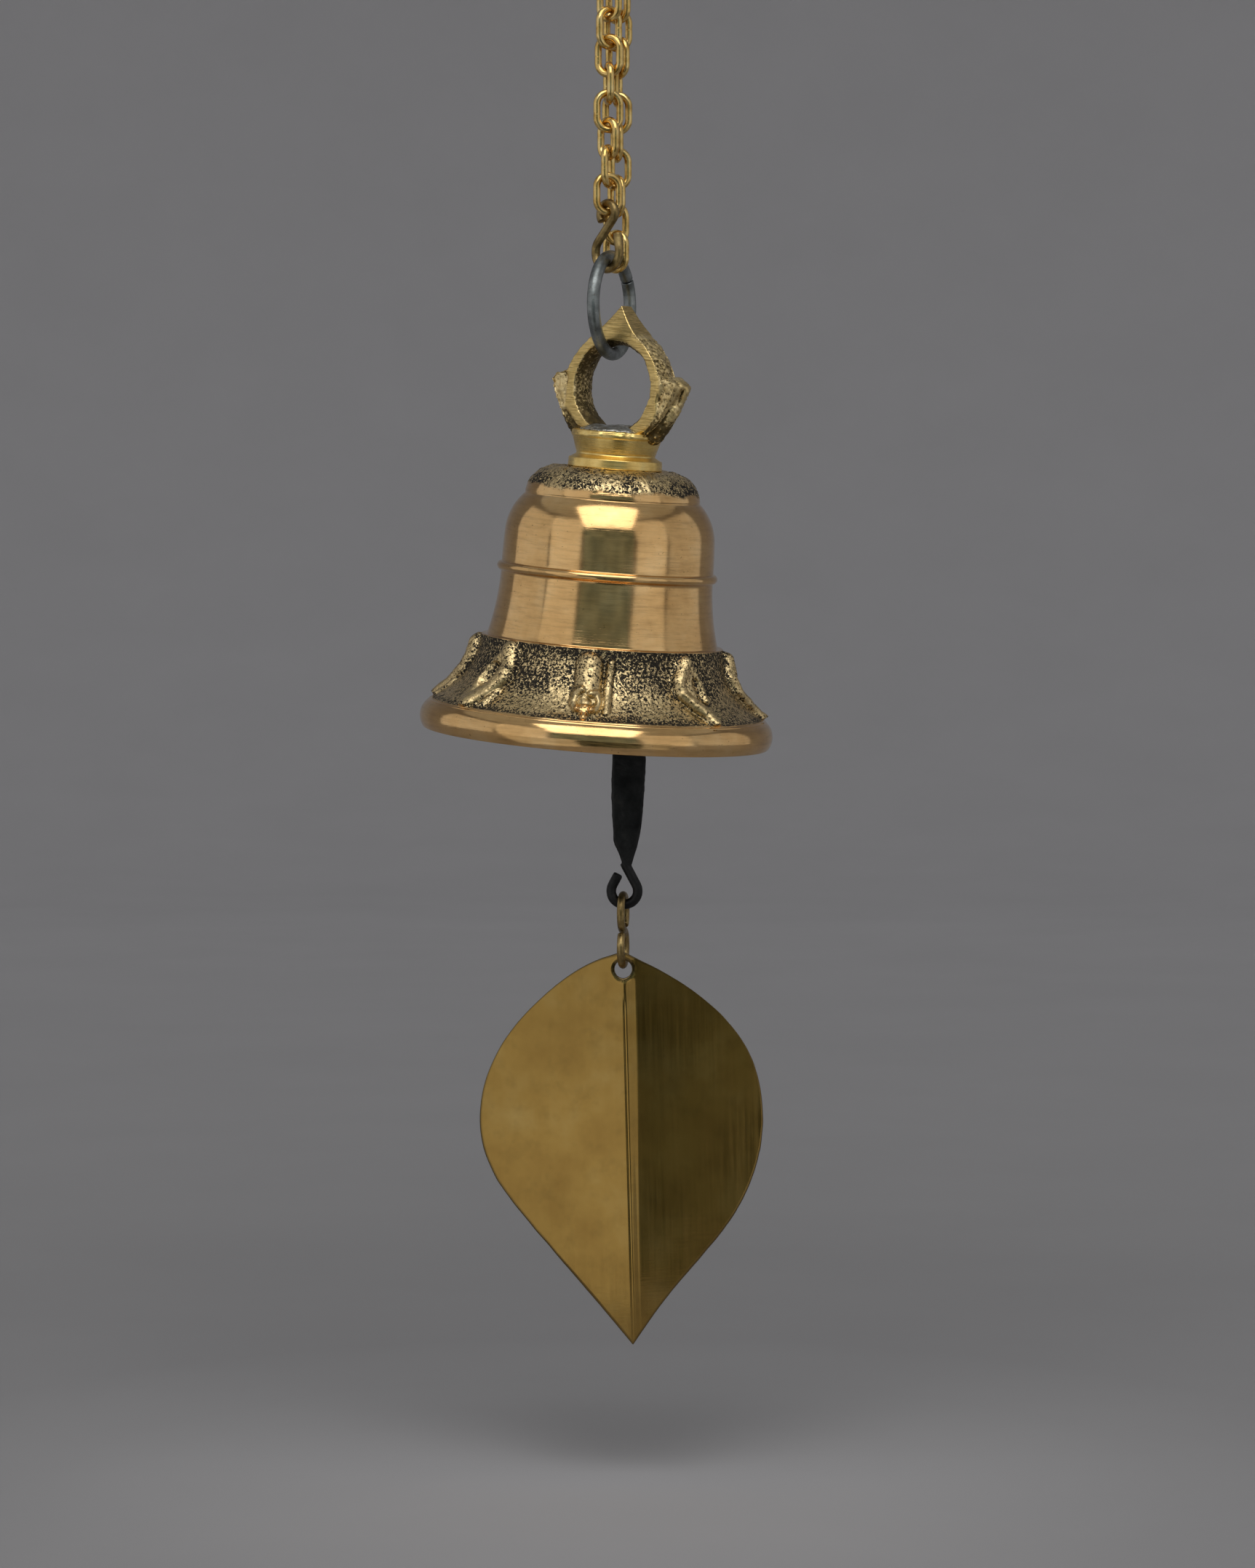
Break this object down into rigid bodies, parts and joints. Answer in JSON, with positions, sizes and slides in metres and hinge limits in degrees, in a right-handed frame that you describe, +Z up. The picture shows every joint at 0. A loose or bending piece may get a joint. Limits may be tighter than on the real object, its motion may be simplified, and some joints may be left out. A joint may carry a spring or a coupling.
{
  "type": "temple bell",
  "caption": "Cast bronze temple bell on a doubled chain, with a strip clapper and a leaf-shaped wind catcher that rings it in a breeze.",
  "frame": {"origin": "where the hook bears on the underside of the top link, on the middle of the chain", "axes": "+Z up, +X to the right as the leaf faces the viewer, +Y to the back"},
  "size_m": [0.0903, 0.0904, 0.3513],
  "materials": {
    "chain_brass": "bright polished",
    "hook_brass": "dull tarnished",
    "ring_iron": "dull grey",
    "crown_bronze": "rough cast",
    "neck_brass": "turned",
    "braze_silver": "rough",
    "bell_bronze": "turned and polished, with a dark cast band",
    "clapper_iron": "black forged",
    "leaf_brass": "brushed sheet"
  },
  "bodies": {
    "top_link": {"top_link": "chain_brass"},
    "chain_1": {"chain_front_01": "chain_brass", "chain_back_01": "chain_brass"},
    "chain_2": {"chain_front_02": "chain_brass", "chain_back_02": "chain_brass"},
    "chain_3": {"chain_front_03": "chain_brass", "chain_back_03": "chain_brass"},
    "chain_4": {"chain_front_04": "chain_brass", "chain_back_04": "chain_brass"},
    "chain_5": {"chain_front_05": "chain_brass", "chain_back_05": "chain_brass"},
    "chain_6": {"chain_front_06": "chain_brass", "chain_back_06": "chain_brass"},
    "chain_7": {"chain_front_07": "chain_brass", "chain_back_07": "chain_brass"},
    "chain_8": {"chain_front_08": "chain_brass", "chain_back_08": "chain_brass"},
    "chain_end": {"s_hook": "hook_brass", "chain_back_09": "chain_brass", "chain_back_10": "chain_brass"},
    "hanging_ring": {"hanging_ring": "ring_iron"},
    "bell": {"bell_shell": "bell_bronze", "neck": "neck_brass", "crown_loop": "crown_bronze", "braze": "braze_silver", "clapper_staple": "clapper_iron"},
    "clapper": {"clapper": "clapper_iron"},
    "leaf_link": {"leaf_link": "hook_brass"},
    "leaf": {"leaf": "leaf_brass"}
  },
  "joints": [
    {"name": "chain_swing_1", "type": "hinge", "parent": "top_link", "child": "chain_1", "pos_m": [0, 0, -0.00492], "axis": [0.4306, 0.9025, 0], "range_deg": [-8, 8]},
    {"name": "chain_swing_2", "type": "hinge", "parent": "chain_1", "child": "chain_2", "pos_m": [-0.00003, 0, -0.01038], "axis": [0.4246, 0.9054, -0.0026], "range_deg": [-8, 8]},
    {"name": "chain_swing_3", "type": "hinge", "parent": "chain_2", "child": "chain_3", "pos_m": [-0.00008, 0, -0.01734], "axis": [0.4129, 0.9107, -0.0077], "range_deg": [-8, 8]},
    {"name": "chain_swing_4", "type": "hinge", "parent": "chain_3", "child": "chain_4", "pos_m": [-0.00014, 0, -0.0243], "axis": [0.4018, 0.9156, -0.0124], "range_deg": [-8, 8]},
    {"name": "chain_swing_5", "type": "hinge", "parent": "chain_4", "child": "chain_5", "pos_m": [-0.0002, 0, -0.03127], "axis": [0.3911, 0.9202, -0.017], "range_deg": [-8, 8]},
    {"name": "chain_swing_6", "type": "hinge", "parent": "chain_5", "child": "chain_6", "pos_m": [-0.00025, 0, -0.03823], "axis": [0.381, 0.9243, -0.0213], "range_deg": [-8, 8]},
    {"name": "chain_swing_7", "type": "hinge", "parent": "chain_6", "child": "chain_7", "pos_m": [-0.00031, 0, -0.04519], "axis": [0.3712, 0.9282, -0.0254], "range_deg": [-8, 8]},
    {"name": "chain_swing_8", "type": "hinge", "parent": "chain_7", "child": "chain_8", "pos_m": [-0.00036, 0, -0.05215], "axis": [0.3619, 0.9318, -0.0293], "range_deg": [-8, 8]},
    {"name": "chain_end_swing", "type": "hinge", "parent": "chain_8", "child": "chain_end", "pos_m": [-0.00041, 0.00002, -0.05909], "axis": [0.351, 0.9355, -0.0415], "range_deg": [-8, 8]},
    {"name": "ring_swing", "type": "hinge", "parent": "chain_end", "child": "hanging_ring", "pos_m": [-0.00049, -0.00003, -0.08347], "axis": [0.9272, -0.3746, 0], "range_deg": [-25, 25]},
    {"name": "bell_swing", "type": "hinge", "parent": "hanging_ring", "child": "bell", "pos_m": [-0.00049, -0.00003, -0.0958], "axis": [0.3746, 0.9272, 0], "range_deg": [-35, 35]},
    {"name": "clapper_swing", "type": "hinge", "parent": "bell", "child": "clapper", "pos_m": [-0.00037, -0.00011, -0.13339], "axis": [0, 1, 0], "range_deg": [-20, 36]},
    {"name": "leaf_link_swing", "type": "hinge", "parent": "clapper", "child": "leaf_link", "pos_m": [0.00273, -0.00011, -0.23589], "axis": [1, 0, 0], "range_deg": [-50, 50]},
    {"name": "leaf_swing", "type": "hinge", "parent": "leaf_link", "child": "leaf", "pos_m": [0.00238, -0.00011, -0.25141], "axis": [0.1392, 0.9903, 0], "range_deg": [-40, 40]}
  ]
}
